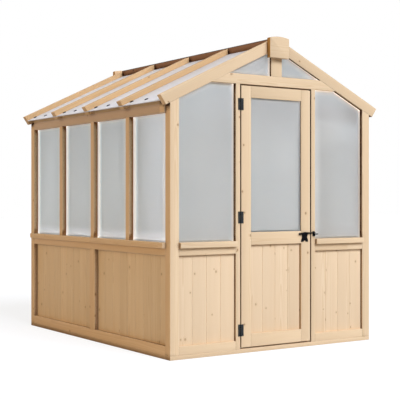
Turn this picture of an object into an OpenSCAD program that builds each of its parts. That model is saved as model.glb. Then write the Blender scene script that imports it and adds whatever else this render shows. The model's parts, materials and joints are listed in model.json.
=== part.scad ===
// Wooden greenhouse: a boarded base, frosted wall and roof sheets in a timber frame,
// and a framed door on three butt hinges, held by a drop latch.
// Millimetres, +Z up. The origin is on the ground, under the middle of the object.
// Each wall is drawn in its own terms: x along the wall from left to right as seen from
// outside, y inward from its outer face, z up.

/* [Overall] */
// Width of the gable walls over the corner posts
frame_w = 1740; // [1600:10:2100]
// Length of the side walls over the corner posts
frame_d = 2170; // [1900:10:2800]
// Height of the collars' underside above the underside of the side walls' top plates
collar_over_eaves = 215; // [160:5:260]
// Pitch of the roof in degrees
pitch = 25.5; // [22:0.5:30]
// How far the rakes and rafters stand out past the side walls
eave_over = 74; // [54:5:124]
// Angle of their lower ends from the plumb, in degrees
end_angle = 35; // [25:1:45]
// Panes in each side wall
bays = 4; // [2:2:6]

/* [Wall timber] */
// Depth of the gable walls' timber, from the outer to the inner face
gable_depth = 60; // [56:1:75]
// Depth of the side walls' timber, and width of the corner posts on the gable
side_depth = 68; // [62:1:80]
// Height of the base beams on the ground
base_h = 28; // [20:1:45]
// Height of the bottom rails
bottom_rail_h = 58; // [45:1:80]
// Height of the boarding between the bottom rails and the mid rails
boarding_h = 590; // [450:5:700]
// Height of the mid rails
mid_rail_h = 48; // [40:1:70]
// Height of the sills
sill_h = 36; // [28:1:45]
// How far the sills stand out from the wall
sill_out = 22; // [14:1:30]
// Open joint between the two sills of a side wall
sill_joint = 0.6; // [0.3:0.1:0.9]
// Width of the mullions between the panes
mullion_w = 48; // [44:1:75]
// Width of the stile between the two boarded panels of a side wall
centre_stile_w = 80; // [60:1:100]
// Height of the side walls' top plates at their outer face
plate_h = 59; // [50:1:80]

/* [Gables] */
// Thickness of the rakes, along the length of the object
rake_t = 44; // [40:1:55]
// Depth of the rakes, square to the roof
rake_depth = 74; // [70:1:88]
// Open joint between the two rakes of a gable at the apex
rake_joint = 0.6; // [0.3:0.1:0.9]
// Height of the collars across the gables
collar_h = 68; // [50:1:80]
// Width of the king posts
king_w = 95; // [70:1:120]
// Width of the apex blocks
apex_w = 166; // [140:1:200]
// Height of the apex blocks
apex_h = 147; // [120:1:160]
// Thickness of the apex blocks
apex_t = 36; // [28:1:50]
// How far the apex blocks rise above the peak of the rakes
apex_rise = 0; // [0:1:15]
// Rise of the arched top of the apex blocks
apex_arch = 10; // [6:1:25]
// Cut across each upper corner of the apex blocks
apex_corner = 7; // [3:1:10]
// Width of the studs in the back wall
back_stud_w = 60; // [48:1:75]
// Clear width between the studs of the back wall
back_bay_w = 600; // [500:5:700]

/* [Glazing] */
// Thickness of the frosted sheets in the walls
pane_t = 6; // [4:0.5:8]
// Depth of the side walls' panes behind the outer face
side_recess = 34; // [20:1:38]
// Depth of the gable walls' panes behind the outer face
gable_recess = 28; // [20:1:28]
// Depth of the small panes beside the king posts
tri_recess = 18; // [14:1:26]
// Clearance around each pane
pane_gap = 0.5; // [0.2:0.1:0.9]
// Width of the glazing beads and board fillets on the inside
bead_w = 12; // [9:1:14]
// Depth of the glazing beads and board fillets
bead_d = 10; // [7:1:10]
// Open joint between neighbouring beads or fillets
bead_joint = 0.4; // [0.3:0.1:0.8]

/* [Boarding] */
// Width that each board covers, before it is evened out over a panel
board_cover = 110; // [85:1:140]
// Thickness of the boards
board_t = 16; // [12:1:16]
// Depth of the side walls' boards behind the outer face
side_board_recess = 28; // [18:1:34]
// Depth of the gable walls' boards behind the outer face
gable_board_recess = 18; // [12:1:24]
// Width of the bevel along each edge of a board
board_bevel = 3; // [2:0.5:4]
// Length of the tongue on a board
tongue_l = 5; // [4:0.5:7]
// Thickness of the tongue on a board
tongue_t = 4; // [3:0.5:5]
// Clearance at the joint between two boards
board_gap = 0.4; // [0.2:0.1:0.8]

/* [Roof] */
// Thickness of the rafters and their caps, along the length of the object
rafter_t = 55; // [38:1:60]
// Thickness of the caps above the roof sheets
cap_t = 36; // [24:1:38]
// Thickness of the roof sheets
sheet_t = 6; // [4:0.5:8]
// Play above and below the roof sheets, between the caps and what carries the sheets
sheet_play = 0.2; // [0.1:0.05:0.3]
// Gap between two roof sheets under a cap
sheet_gap = 4; // [2:1:8]
// Gap between the roof sheets and the ridge board
ridge_gap = 0.6; // [0.3:0.1:0.9]
// Thickness of the ridge board
ridge_t = 70; // [40:1:80]
// How far the ridge board and its strip stand above the upper ends of the caps
ridge_up = 8; // [0:0.5:10]
// Height of the ridge board
ridge_h = 95; // [85:1:120]
// How far the dark weather strip stays back from the sides of the ridge board
strip_inset = 1; // [0.5:0.5:3]
// Thickness of the dark weather strip on the ridge
strip_t = 4; // [2:0.5:6]
// Thickness of the ledgers that carry the end sheets along the rakes
ledger_t = 20; // [14:1:26]
// Width of the blocks between the rafters on the top plates
block_w = 44; // [36:1:60]
// Depth of the rafters' tails outside the side walls
rafter_tail_d = 22; // [14:1:28]
// Length of the cleats on the side walls, behind the front corner posts
cleat_l = 60; // [40:1:90]
// Thickness of the cleats
cleat_t = 11; // [8:1:18]
// Screws along the lower edge of each roof sheet
screws_per_sheet = 3; // [2:1:4]
// Distance of the roof screws in from the outside of the side walls
screw_inset = 5; // [5:1:30]
// Mean distance of the outer screws of a sheet from the rafters
screw_margin = 45; // [35:1:70]
// How far the screws are shifted towards the back wall
screw_shift = 20; // [0:1:21]
// Radius of the roof screws' heads
screw_head_r = 14; // [5:0.5:15]
// Height of the roof screws' heads
screw_head_h = 6; // [3:0.5:8]
// Radius of the roof screws' shanks
screw_r = 2.5; // [2:0.25:3]
// Length of the roof screws' shanks in the blocks
screw_bite = 24; // [15:1:28]

/* [Door] */
// Width of the door
door_w = 604; // [560:2:700]
// Height of the door
door_h = 1777; // [1740:1:1800]
// Gap around the door
door_gap = 10; // [6:0.5:10]
// Thickness of the door
door_t = 44; // [36:1:44]
// Width of the jambs beside the doorway
jamb_w = 36; // [34:1:60]
// Width of the door's stiles
stile_w = 82; // [70:1:100]
// Height of the door's top rail
top_rail_h = 80; // [65:1:100]
// Height of the door's middle rail
door_mid_rail_h = 86; // [70:1:110]
// Height of the door's bottom rail
door_bottom_rail_h = 88; // [70:1:120]
// Height of the door's middle rail above the underside of the sills
door_mid_up = 8; // [-10:1:20]
// Depth of the door's boards behind its face
door_recess = 18; // [12:1:18]
// Depth of the door's pane behind its face
door_pane_recess = 10; // [8:1:18]
// Width of the door stops
stop_w = 22; // [18:1:30]
// Open joint between the upright stops and the top stop
stop_joint = 0.4; // [0.3:0.1:0.8]
// Clearance between the closed door and its stops
stop_gap = 1; // [0.5:0.1:2]

/* [Hinges] */
// Height of the hinges
hinge_h = 80; // [60:1:100]
// Width of one hinge leaf, from the pin
leaf_w = 22.5; // [18:0.5:30]
// Thickness of the hinge leaves
leaf_t = 2.5; // [2:0.25:3]
// Radius of the hinge knuckles
knuckle_r = 4.5; // [4:0.25:5.5]
// Clearance beside and between the knuckles
knuckle_gap = 0.5; // [0.3:0.1:0.8]
// Radius of the hinge pins
pin_r = 2.2; // [1.8:0.1:2.8]
// Radial clearance of the pins in the knuckles
pin_clear = 0.05; // [0.02:0.01:0.1]
// Distance of the top hinge's centre below the top of the door
hinge_top_inset = 128; // [90:1:160]
// Distance of the middle hinge's centre above the bottom of the door
hinge_mid_up = 882; // [780:1:980]
// Distance of the bottom hinge's centre above the bottom of the door
hinge_bottom_inset = 118; // [90:1:160]

/* [Latch] */
// Distance of the latch's pivot from the door's free edge
latch_inset = 52; // [48:1:60]
// Height of the latch's pivot above the underside of the door's middle rail
latch_up = 70; // [66:1:74]
// Width of the latch plate at its feet
latch_plate_w = 62; // [58:1:70]
// Height of the latch plate
latch_plate_h = 60; // [54:1:64]
// Width of the latch plate's waist
latch_waist_w = 47; // [40:1:50]
// Thickness of the latch plate and of the keeper's plate
latch_plate_t = 3; // [2:0.25:4]
// Thickness of the lever
lever_t = 5; // [4:0.25:6]
// Height of the lever at its nose
nose_h = 8.5; // [7.5:0.5:9.5]
// Radius of the lever's hub
hub_r = 9; // [8:0.5:11]
// Length of the lever's finger tail
tail_l = 50; // [42:1:56]
// Radius of the end of the finger tail
tail_r = 6; // [4.5:0.5:7]
// Angle that the finger tail bends down from the line of the nose
tail_bend = 4; // [0:0.5:8]
// How far the lever's nose reaches past the keeper's post
nose_past = 10; // [8:0.5:12]
// Angle of the lifted lever above the level, in degrees
lift_angle = 1.5; // [1:0.1:3]
// Radius of the latch's pivot pin
pivot_r = 3; // [2.5:0.1:3.5]
// Clearance on each side of the lever on its pin
pivot_side = 0.3; // [0.2:0.05:0.4]
// Space between the lever and the latch plate
lever_off = 2; // [1.5:0.25:3]
// Distance of the keeper's middle from the inner edge of the jamb
keeper_inset = 21; // [18:1:24]
// Width of the keeper's plate
keeper_w = 18; // [14:0.5:20]
// Height of the keeper's plate
keeper_h = 36; // [34:1:42]
// Radius of the keeper's rod and post
keeper_r = 3.5; // [3:0.25:4]
// Length of the keeper's rod to the right of its post, without the point
keeper_rod_l = 24; // [20:1:45]
// Length of the point on the keeper's rod
keeper_tip_l = 8; // [5:0.5:12]

/* [Hidden] */

$fn = 48;
// Overlap that makes a cut or a joint between primitives clean
over = 1;
wood_front = [0.92, 0.80, 0.65];
wood_board = [0.91, 0.81, 0.68];
wood_roof = [0.87, 0.72, 0.50];
wood_ridge = [0.57, 0.40, 0.28];
frosted = [0.78, 0.79, 0.80, 0.6];
black_metal = [0.14, 0.15, 0.16];

// Heights shared by all walls
rail_top = base_h + bottom_rail_h;
mid_rail_z = rail_top + boarding_h;
sill_z = mid_rail_z + mid_rail_h;
sill_top = sill_z + sill_h;

half_w = frame_w / 2;
half_d = frame_d / 2;

// Doorway
door_z = base_h + door_gap;
door_half = door_w / 2;
jamb_in = door_half + door_gap;
jamb_out = jamb_in + jamb_w;
collar_z = door_z + door_h + door_gap;
collar_top = collar_z + collar_h;
door_mid_z = sill_z + door_mid_up;

// The roof's top surface runs along the tops of the rakes and of the caps. Depths below it, square to
// it: the top and the underside of the sheets, and the top of the timber that carries them
eaves_z = collar_z - collar_over_eaves;
apex_z = eaves_z + plate_h + rake_depth / cos(pitch) + half_w * tan(pitch);
eave_x = half_w + eave_over;
sheet_top_b = cap_t + sheet_play;
sheet_low_b = sheet_top_b + sheet_t;
carrier_b = sheet_low_b + sheet_play;
ridge_top = apex_z - ridge_t / 2 * tan(pitch) + ridge_up - strip_t;

// Inner faces of the corner posts, and the bays of a side wall
gable_in = half_w - side_depth;
side_in = half_d - gable_depth;
bay_w = (2 * side_in - (bays - 1) * mullion_w) / bays;
bay_pitch = bay_w + mullion_w;
rafter_ys = [for (i = [1 : bays - 1]) -side_in + i * bay_pitch - mullion_w / 2];

// Studs of the back wall
back_in = back_bay_w / 2;
back_out = back_in + back_stud_w;

// Hinge axis, in front of the gap on the hinge side, and the hinges' centres
hinge_x = -door_half - door_gap / 2;
hinge_y = -knuckle_r;
hinge_zs = [
    door_z + hinge_bottom_inset,
    door_z + hinge_mid_up,
    door_z + door_h - hinge_top_inset
];

// Latch: the pivot on the door, the lever's layer, and the keeper on the jamb
latch_x = door_half - latch_inset;
latch_z = door_mid_z + latch_up;
lever_y = -latch_plate_t - lever_off;
keeper_x = jamb_in + keeper_inset;
keeper_y = lever_y - lever_t - 1.5 - keeper_r;
nose_reach = keeper_x - latch_x + nose_past;
// The keeper's post ends just under the lifted nose
nose_low = latch_z + (keeper_x - latch_x - keeper_r) * tan(lift_angle) - nose_h / 2 / cos(lift_angle);
keeper_top = nose_low - 1.2;
// The lever turns eight degrees, and the dropped nose stops just above the keeper's stem
drop_angle = 8 - lift_angle;
nose_rest = latch_z - (keeper_x - latch_x + keeper_r) * tan(drop_angle) - nose_h / 2 / cos(drop_angle);
stem_z = nose_rest - 1 - keeper_r;

// Roof geometry in the plane across the object: b is a depth square to the roof's top surface
function lift(b) = b / cos(pitch);
function roof_z(x, b = 0) = apex_z - abs(x) * tan(pitch) - lift(b);
function roof_x(z, b) = (apex_z - lift(b) - z) / tan(pitch);
function end_cut(b) =
    let (along = b / cos(end_angle - pitch))
        [-eave_x + along * sin(end_angle), roof_z(eave_x) - along * cos(end_angle)];
// A strip of the left slope from a plumb cut at x0 down to the end cut at the eaves
function eaves_strip(x0, b0, b1) =
    [[-x0, roof_z(x0, b0)], [-x0, roof_z(x0, b1)], end_cut(b1), end_cut(b0)];
// A strip of the left slope between plumb cuts at x0 and x1
function plumb_strip(x0, x1, b0, b1) =
    [[-x0, roof_z(x0, b0)], [-x0, roof_z(x0, b1)], [-x1, roof_z(x1, b1)], [-x1, roof_z(x1, b0)]];

// Outlines in a wall's own x and z, anticlockwise
function box_outline(x0, x1, z0, z1) = [[x0, z0], [x1, z0], [x1, z1], [x0, z1]];
function bay_outline(i) =
    let (x0 = -side_in + i * bay_pitch) box_outline(x0, x0 + bay_w, sill_top, eaves_z);
function side_panel_outline(s) =
    s < 0 ? box_outline(-side_in, -centre_stile_w / 2, rail_top, mid_rail_z)
          : box_outline(centre_stile_w / 2, side_in, rail_top, mid_rail_z);
// The left pane of a gable wall, whose top follows the rake up to the collar
function gable_pane_outline(x1) = [
    [-gable_in, sill_top], [x1, sill_top], [x1, collar_z],
    [-roof_x(collar_z, rake_depth), collar_z], [-gable_in, roof_z(gable_in, rake_depth)]
];
function gable_panel_outline(x1) = box_outline(-gable_in, x1, rail_top, mid_rail_z);
// The small pane to the left of a king post
function tri_outline() = [
    [-roof_x(collar_top, rake_depth), collar_top], [-king_w / 2, collar_top],
    [-king_w / 2, roof_z(king_w / 2, rake_depth)]
];
back_mid_pane = box_outline(-back_in, back_in, sill_top, collar_z);
back_mid_panel = box_outline(-back_in, back_in, rail_top, mid_rail_z);
door_pane_outline = box_outline(
    -door_half + stile_w, door_half - stile_w,
    door_mid_z + door_mid_rail_h, door_z + door_h - top_rail_h);
door_panel_outline = box_outline(
    -door_half + stile_w, door_half - stile_w, door_z + door_bottom_rail_h, door_mid_z);

// Corner i of an anticlockwise outline moved inward by w from both of its edges
function unit(v) = v / norm(v);
function inward(p, q) = let (u = unit(q - p)) [-u[1], u[0]];
function inset_corner(pts, i, w) =
    let (
        n = len(pts),
        a = inward(pts[(i + n - 1) % n], pts[i]),
        b = inward(pts[i], pts[(i + 1) % n])
    ) pts[i] + w * (a + b) / (1 + a * b);
function inset(pts, w) = [for (i = [0 : len(pts) - 1]) inset_corner(pts, i, w)];

// Section of a board lying on its outer face, with bevelled edges, a groove at x = 0 and a tongue at x = w
function board_section(w, groove, tongue) =
    let (
        t0 = (board_t - tongue_t) / 2,
        t1 = t0 + tongue_t,
        right = tongue ? w - board_gap : w,
        deep = tongue_l + board_gap
    ) concat(
        [[board_bevel, 0], [right - board_bevel, 0], [right, board_bevel]],
        tongue ? [[right, t0], [right + tongue_l, t0], [right + tongue_l, t1], [right, t1]] : [],
        [[right, board_t], [0, board_t]],
        groove ? [[0, t1 + board_gap], [deep, t1 + board_gap], [deep, t0 - board_gap], [0, t0 - board_gap]] : [],
        [[0, board_bevel]]
    );

// Places of the four walls, and the mirrored half of a gable or of the roof
module on_front() { translate([0, -half_d, 0]) children(); }
module on_back() { rotate([0, 0, 180]) on_front() children(); }
module on_left() { rotate([0, 0, -90]) translate([0, -half_w, 0]) children(); }
module on_right() { rotate([0, 0, 180]) on_left() children(); }
module both_halves() {
    children();
    mirror([1, 0, 0]) children();
}

// A flat piece with an outline in x and z, from y to y + t
module slab(pts, y, t) {
    translate([0, y + t, 0]) rotate([90, 0, 0]) linear_extrude(t) polygon(pts);
}
module bar(x0, x1, z0, z1, y, t) { slab(box_outline(x0, x1, z0, z1), y, t); }
module pane(pts, y) { slab(inset(pts, pane_gap), y, pane_t); }

// Mitred strips around the inside of an outline
module beads(pts, y) {
    inner = inset(pts, bead_w);
    for (i = [0 : len(pts) - 1]) {
        j = (i + 1) % len(pts);
        slab(inset([pts[i], pts[j], inner[j], inner[i]], bead_joint / 2), y, bead_d);
    }
}

// Upright boards that fill a four-cornered outline
module boarding(pts, y) {
    x0 = pts[0][0];
    z0 = pts[0][1];
    span = pts[1][0] - x0;
    n = max(1, round(span / board_cover));
    w = span / n;
    for (i = [0 : n - 1])
        translate([x0 + i * w, y, z0])
            linear_extrude(pts[2][1] - z0) polygon(board_section(w, i > 0, i < n - 1));
}

// Base beams
module gable_base() { bar(-half_w, half_w, 0, base_h, 0, gable_depth); }
module base_front() { color(wood_front) on_front() gable_base(); }
module base_back() { color(wood_front) on_back() gable_base(); }
module base_sides() {
    color(wood_front) {
        on_left() bar(-side_in, side_in, 0, base_h, 0, side_depth);
        on_right() bar(-side_in, side_in, 0, base_h, 0, side_depth);
    }
}

// Corner posts, whose tops follow the rakes
module corner_posts() {
    both_halves() slab([
        [-half_w, base_h], [-gable_in, base_h],
        [-gable_in, roof_z(gable_in, rake_depth)], [-half_w, roof_z(half_w, rake_depth)]
    ], 0, gable_depth);
}
module front_posts() { color(wood_front) on_front() corner_posts(); }
module back_posts() { color(wood_front) on_back() corner_posts(); }

// Side walls
module side_rails() {
    bar(-side_in, side_in, base_h, rail_top, 0, side_depth);
    bar(-side_in, side_in, mid_rail_z, sill_z, 0, side_depth);
}
module side_studs() {
    bar(-centre_stile_w / 2, centre_stile_w / 2, rail_top, mid_rail_z, 0, side_depth);
    for (y = rafter_ys)
        bar(y - mullion_w / 2, y + mullion_w / 2, sill_top, eaves_z, 0, side_depth);
}
module side_boards() {
    for (s = [-1, 1]) boarding(side_panel_outline(s), side_board_recess);
}
module side_sills() {
    both_halves()
        bar(-side_in, -sill_joint / 2, sill_z, sill_top, -sill_out, sill_out + side_depth);
}
module side_panes() {
    for (i = [0 : bays - 1]) pane(bay_outline(i), side_recess);
}
module side_top_plate() {
    translate([-side_in, 0, 0]) rotate([90, 0, 90]) linear_extrude(2 * side_in) polygon([
        [0, eaves_z], [side_depth, eaves_z],
        [side_depth, roof_z(gable_in, rake_depth)], [0, roof_z(half_w, rake_depth)]
    ]);
}
module side_beads() {
    for (i = [0 : bays - 1]) beads(bay_outline(i), side_recess + pane_t);
    for (s = [-1, 1]) beads(side_panel_outline(s), side_board_recess + board_t);
}
module left_rails() { color(wood_front) on_left() side_rails(); }
module left_studs() { color(wood_front) on_left() side_studs(); }
module left_boards() { color(wood_board) on_left() side_boards(); }
module left_sills() { color(wood_front) on_left() side_sills(); }
module left_panes() { color(frosted) on_left() side_panes(); }
module left_top_plate() { color(wood_front) on_left() side_top_plate(); }
module right_rails() { color(wood_front) on_right() side_rails(); }
module right_studs() { color(wood_front) on_right() side_studs(); }
module right_boards() { color(wood_board) on_right() side_boards(); }
module right_sills() { color(wood_front) on_right() side_sills(); }
module right_panes() { color(frosted) on_right() side_panes(); }
module right_top_plate() { color(wood_front) on_right() side_top_plate(); }

// What the two gables share
module collar() {
    slab([
        [-roof_x(collar_z, rake_depth), collar_z], [roof_x(collar_z, rake_depth), collar_z],
        [roof_x(collar_top, rake_depth), collar_top], [-roof_x(collar_top, rake_depth), collar_top]
    ], 0, gable_depth);
}
module king_post() {
    k = king_w / 2;
    slab([
        [-k, collar_top], [k, collar_top], [k, roof_z(k, rake_depth)],
        [0, roof_z(0, rake_depth)], [-k, roof_z(k, rake_depth)]
    ], 0, rake_t);
}
module rakes() { both_halves() slab(eaves_strip(rake_joint / 2, 0, rake_depth), 0, rake_t); }
module gable_panes() { both_halves() pane(tri_outline(), tri_recess); }
module apex_block() {
    top = apex_z + apex_rise;
    half = apex_w / 2;
    arch_r = (half * half + apex_arch * apex_arch) / (2 * apex_arch);
    shoulder = top - apex_arch;
    rotate([90, 0, 0]) linear_extrude(apex_t) intersection() {
        polygon([
            [-half, top - apex_h], [half, top - apex_h], [half, shoulder - apex_corner],
            [half - apex_corner, top], [-half + apex_corner, top], [-half, shoulder - apex_corner]
        ]);
        translate([0, top - arch_r]) circle(arch_r, $fn = 180);
    }
}

// Front wall
module front_jambs() {
    color(wood_front) on_front() both_halves()
        bar(-jamb_out, -jamb_in, base_h, collar_z, 0, gable_depth);
}
module front_rails() {
    color(wood_front) on_front() both_halves() {
        bar(-gable_in, -jamb_out, base_h, rail_top, 0, gable_depth);
        bar(-gable_in, -jamb_out, mid_rail_z, sill_z, 0, gable_depth);
    }
}
module front_boards() {
    color(wood_board) on_front() both_halves()
        boarding(gable_panel_outline(-jamb_out), gable_board_recess);
}
module front_sills() {
    color(wood_front) on_front() both_halves()
        bar(-gable_in, -jamb_out, sill_z, sill_top, -sill_out, sill_out + gable_depth);
}
module front_panes() {
    color(frosted) on_front() both_halves() pane(gable_pane_outline(-jamb_out), gable_recess);
}
module front_collar() { color(wood_front) on_front() collar(); }
module front_king_post() { color(wood_front) on_front() king_post(); }
module front_rakes() { color(wood_front) on_front() rakes(); }
module front_gable_panes() { color(frosted) on_front() gable_panes(); }
module front_apex_block() { color(wood_front) on_front() apex_block(); }
module door_stops() {
    y = door_t + stop_gap;
    color(wood_front) on_front() {
        both_halves() bar(-jamb_in, -jamb_in + stop_w, base_h, collar_z, y, gable_depth - y);
        x = jamb_in - stop_w - stop_joint;
        bar(-x, x, collar_z - stop_w, collar_z, y, gable_depth - y);
    }
}

// Back wall
module back_studs() {
    color(wood_front) on_back() both_halves() {
        bar(-back_out, -back_in, rail_top, mid_rail_z, 0, gable_depth);
        bar(-back_out, -back_in, sill_top, collar_z, 0, gable_depth);
    }
}
module back_rails() {
    color(wood_front) on_back() {
        bar(-gable_in, gable_in, base_h, rail_top, 0, gable_depth);
        bar(-gable_in, gable_in, mid_rail_z, sill_z, 0, gable_depth);
    }
}
module back_boards() {
    color(wood_board) on_back() {
        both_halves() boarding(gable_panel_outline(-back_out), gable_board_recess);
        boarding(back_mid_panel, gable_board_recess);
    }
}
// The back sill's lip runs across the corner posts too
module back_sill() {
    color(wood_front) on_back() translate([0, 0, sill_z]) linear_extrude(sill_h) polygon([
        [-half_w, -sill_out], [half_w, -sill_out], [half_w, 0], [gable_in, 0],
        [gable_in, gable_depth], [-gable_in, gable_depth], [-gable_in, 0], [-half_w, 0]
    ]);
}
module back_panes() {
    color(frosted) on_back() {
        both_halves() pane(gable_pane_outline(-back_out), gable_recess);
        pane(back_mid_pane, gable_recess);
    }
}
module back_collar() { color(wood_front) on_back() collar(); }
module back_king_post() { color(wood_front) on_back() king_post(); }
module back_rakes() { color(wood_front) on_back() rakes(); }
module back_gable_panes() { color(frosted) on_back() gable_panes(); }
module back_apex_block() { color(wood_front) on_back() apex_block(); }

// Beads and fillets on the inside of all four walls
module wall_beads() {
    color(wood_front) {
        on_left() side_beads();
        on_right() side_beads();
        on_front() both_halves() {
            beads(gable_pane_outline(-jamb_out), gable_recess + pane_t);
            beads(gable_panel_outline(-jamb_out), gable_board_recess + board_t);
            beads(tri_outline(), tri_recess + pane_t);
        }
        on_back() {
            both_halves() {
                beads(gable_pane_outline(-back_out), gable_recess + pane_t);
                beads(gable_panel_outline(-back_out), gable_board_recess + board_t);
                beads(tri_outline(), tri_recess + pane_t);
            }
            beads(back_mid_pane, gable_recess + pane_t);
            beads(back_mid_panel, gable_board_recess + board_t);
        }
    }
}

// Roof
module along_ridge(half, z0, z1) { bar(-half, half, z0, z1, -half_d + rake_t, frame_d - 2 * rake_t); }
module ridge_board() { color(wood_ridge) along_ridge(ridge_t / 2, ridge_top - ridge_h, ridge_top); }
module ridge_strip() {
    color(black_metal) along_ridge(ridge_t / 2 - strip_inset, ridge_top, ridge_top + strip_t);
}
// The rafters are cut back outside the walls
module rafters() {
    x0 = ridge_t / 2;
    tail_b = carrier_b + rafter_tail_d;
    outline = [
        [-x0, roof_z(x0, carrier_b)], [-x0, roof_z(x0, rake_depth)],
        [-half_w, roof_z(half_w, rake_depth)], [-half_w, roof_z(half_w, tail_b)],
        end_cut(tail_b), end_cut(carrier_b)
    ];
    color(wood_roof) both_halves() for (y = rafter_ys) slab(outline, y - rafter_t / 2, rafter_t);
}
module rafter_caps() {
    color(wood_roof) both_halves() for (y = rafter_ys)
        slab(eaves_strip(ridge_t / 2, 0, cap_t), y - rafter_t / 2, rafter_t);
}
module sheet_ledgers() {
    strip = plumb_strip(ridge_t / 2, half_w, carrier_b, rake_depth);
    color(wood_roof) both_halves() {
        slab(strip, -half_d + rake_t, ledger_t);
        slab(strip, half_d - rake_t - ledger_t, ledger_t);
    }
}
// Where the clear roof bays start and end, between the rakes and the rafters
bay_starts = concat([-half_d + rake_t], [for (y = rafter_ys) y + rafter_t / 2]);
bay_ends = concat([for (y = rafter_ys) y - rafter_t / 2], [half_d - rake_t]);
module eaves_blocks() {
    strip = plumb_strip(half_w - block_w, half_w, carrier_b, rake_depth);
    color(wood_roof) both_halves() for (i = [0 : bays - 1]) {
        y0 = bay_starts[i] + (i == 0 ? ledger_t : 0);
        y1 = bay_ends[i] - (i == bays - 1 ? ledger_t : 0);
        slab(strip, y0, y1 - y0);
    }
}
// Cleats on the outside of the side walls, under the lower edges of the front sheets
module eaves_cleats() {
    x = half_w + cleat_t;
    color(wood_front) both_halves() slab([
        [-x, eaves_z], [-half_w, eaves_z],
        [-half_w, roof_z(half_w, carrier_b)], [-x, roof_z(x, carrier_b)]
    ], -half_d + rake_t + 10, cleat_l);
}
module roof_sheets() {
    strip = eaves_strip(ridge_t / 2 + ridge_gap, sheet_top_b, sheet_low_b);
    under_cap = (rafter_t - sheet_gap) / 2;
    color(frosted) both_halves() for (i = [0 : bays - 1]) {
        y0 = bay_starts[i] - (i == 0 ? 0 : under_cap);
        y1 = bay_ends[i] + (i == bays - 1 ? 0 : under_cap);
        slab(strip, y0, y1 - y0);
    }
}
module roof_screws() {
    x = half_w - screw_inset;
    color(black_metal) both_halves() for (i = [0 : bays - 1], k = [0 : screws_per_sheet - 1]) {
        run = bay_ends[i] - bay_starts[i] - 2 * screw_margin;
        y = bay_starts[i] + screw_margin + k * run / (screws_per_sheet - 1) + screw_shift;
        translate([-x, y, roof_z(x, sheet_top_b)]) rotate([0, -pitch, 0]) {
            cylinder(h = screw_head_h, r = screw_head_r);
            translate([0, 0, -sheet_t - screw_bite])
                cylinder(h = sheet_t + screw_bite + screw_head_h / 2, r = screw_r);
        }
    }
}

// Door
module door_stiles() {
    color(wood_front) on_front() both_halves()
        bar(-door_half, -door_half + stile_w, door_z, door_z + door_h, 0, door_t);
}
module door_rails() {
    x = door_half - stile_w;
    color(wood_front) on_front() {
        bar(-x, x, door_z, door_z + door_bottom_rail_h, 0, door_t);
        bar(-x, x, door_mid_z, door_mid_z + door_mid_rail_h, 0, door_t);
        bar(-x, x, door_z + door_h - top_rail_h, door_z + door_h, 0, door_t);
    }
}
module door_boards() { color(wood_board) on_front() boarding(door_panel_outline, door_recess); }
module door_pane() { color(frosted) on_front() pane(door_pane_outline, door_pane_recess); }
module door_beads() {
    color(wood_front) on_front() {
        beads(door_pane_outline, door_pane_recess + pane_t);
        beads(door_panel_outline, door_recess + board_t);
    }
}

// One hinge leaf to the left of the pin: which of the three knuckles it has is given as a list
module hinge_leaf(knuckles) {
    one = hinge_h / 3;
    clear = knuckle_r + knuckle_gap;
    difference() {
        union() {
            translate([-leaf_w, knuckle_r - leaf_t, -hinge_h / 2])
                cube([leaf_w - clear, leaf_t, hinge_h]);
            for (k = knuckles) {
                low = -hinge_h / 2 + k * one + (k > 0 ? knuckle_gap / 2 : 0);
                high = -hinge_h / 2 + (k + 1) * one - (k < 2 ? knuckle_gap / 2 : 0);
                translate([0, 0, low]) cylinder(h = high - low, r = knuckle_r);
                translate([-clear - over, knuckle_r - leaf_t, low])
                    cube([clear + over, leaf_t, high - low]);
            }
        }
        translate([0, 0, -hinge_h / 2 - over]) cylinder(h = hinge_h + 2 * over, r = pin_r + pin_clear);
    }
}
module at_hinges() {
    on_front() for (z = hinge_zs) translate([hinge_x, hinge_y, z]) children();
}
module hinge_jamb_leaves() { color(black_metal) at_hinges() hinge_leaf([0, 2]); }
module hinge_door_leaves() { color(black_metal) at_hinges() mirror([1, 0, 0]) hinge_leaf([1]); }
module hinge_pins() {
    color(black_metal) at_hinges() translate([0, 0, -hinge_h / 2]) cylinder(h = hinge_h, r = pin_r);
}

// Latch plate: two feet, a waist, and the pivot pin with its washer and head
module latch_outline() {
    notch_r = latch_plate_h / 2 + 2;
    difference() {
        translate([-latch_plate_w / 2, -latch_plate_h]) square([latch_plate_w, latch_plate_h + 4]);
        for (s = [-1, 1])
            translate([s * (latch_waist_w / 2 + notch_r), -latch_plate_h / 2 + 4]) circle(notch_r);
        translate([0, -latch_plate_h - 1]) circle(latch_plate_w * 0.17);
    }
}
module latch_plate() {
    washer_h = lever_off - pivot_side;
    head_y = lever_y - lever_t - pivot_side;
    color(black_metal) on_front() translate([latch_x, 0, latch_z]) rotate([90, 0, 0]) {
        linear_extrude(latch_plate_t) latch_outline();
        cylinder(h = latch_plate_t + washer_h, r = pivot_r + 4);
        cylinder(h = -head_y + 2, r = pivot_r);
        translate([0, 0, -head_y]) cylinder(h = 2.5, r = pivot_r + 3);
    }
}

// Lever, drawn lifted: its tail to the left for the finger, its nose to the right over the keeper
module latch_lever() {
    color(black_metal) on_front() translate([latch_x, lever_y, latch_z]) rotate([90, 0, 0])
        linear_extrude(lever_t) rotate(lift_angle) difference() {
            union() {
                circle(hub_r);
                rotate(tail_bend) {
                    translate([-tail_l, 0]) circle(tail_r);
                    polygon([[-tail_l, -tail_r], [0, -hub_r * 0.9], [0, hub_r * 0.9], [-tail_l, tail_r]]);
                }
                polygon([
                    [0, -hub_r * 0.9], [nose_reach * 0.4, -nose_h / 2], [nose_reach, -nose_h / 2],
                    [nose_reach, nose_h / 4], [nose_reach - nose_h / 4, nose_h / 2],
                    [nose_reach * 0.4, nose_h / 2], [0, hub_r * 0.9]
                ]);
            }
            circle(pivot_r + pin_clear);
        }
}

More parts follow.
